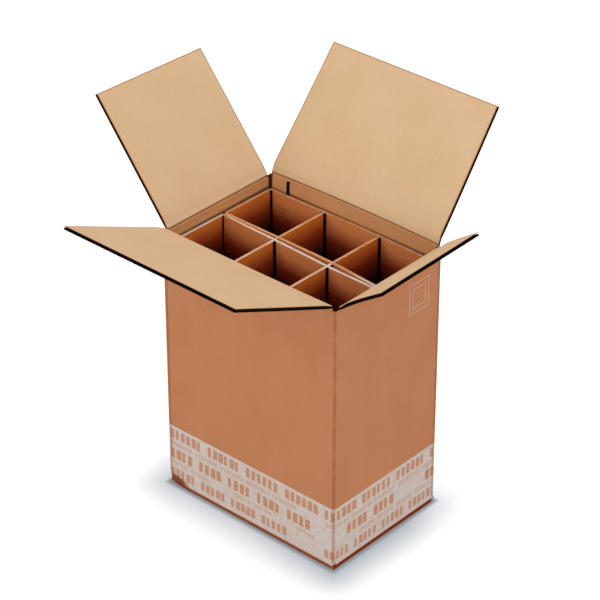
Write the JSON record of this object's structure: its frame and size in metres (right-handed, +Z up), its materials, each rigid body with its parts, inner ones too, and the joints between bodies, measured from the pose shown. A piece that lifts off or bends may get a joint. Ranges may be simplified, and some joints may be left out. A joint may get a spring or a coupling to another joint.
{
  "type": "bottle shipping box",
  "caption": "Open corrugated carton for bottles with hinged top flaps and a slotted divider insert that makes separate bottle cells.",
  "frame": {"origin": "middle of the base, on the floor", "axes": "+X along the long side towards the short flap, +Y along the short side towards the back, +Z up"},
  "size_m": [0.4282, 0.4446, 0.4927],
  "materials": {
    "carton_board": "matte",
    "divider_board": "matte"
  },
  "bodies": {
    "box": {"carton": "carton_board", "divider_liner": "divider_board", "left_partition": "divider_board", "right_partition": "divider_board"},
    "front": {"front_flap": "carton_board"},
    "back": {"back_flap": "carton_board"},
    "left": {"left_flap": "carton_board"},
    "right": {"right_flap": "carton_board"}
  },
  "joints": [
    {"name": "front_flap_fold", "type": "hinge", "parent": "box", "child": "front", "pos_m": [0, -0.09215, 0.3545], "axis": [1, 0, 0], "range_deg": [-155.8, 109.2]},
    {"name": "back_flap_fold", "type": "hinge", "parent": "box", "child": "back", "pos_m": [0, 0.09215, 0.3588], "axis": [-1, 0, 0], "range_deg": [-129, 136]},
    {"name": "left_flap_fold", "type": "hinge", "parent": "box", "child": "left", "pos_m": [-0.13215, 0, 0.3502], "axis": [0, -1, 0], "range_deg": [-128.3, 136.7]},
    {"name": "right_flap_fold", "type": "hinge", "parent": "box", "child": "right", "pos_m": [0.13215, 0, 0.3502], "axis": [0, 1, 0], "range_deg": [-143.3, 121.7]}
  ]
}
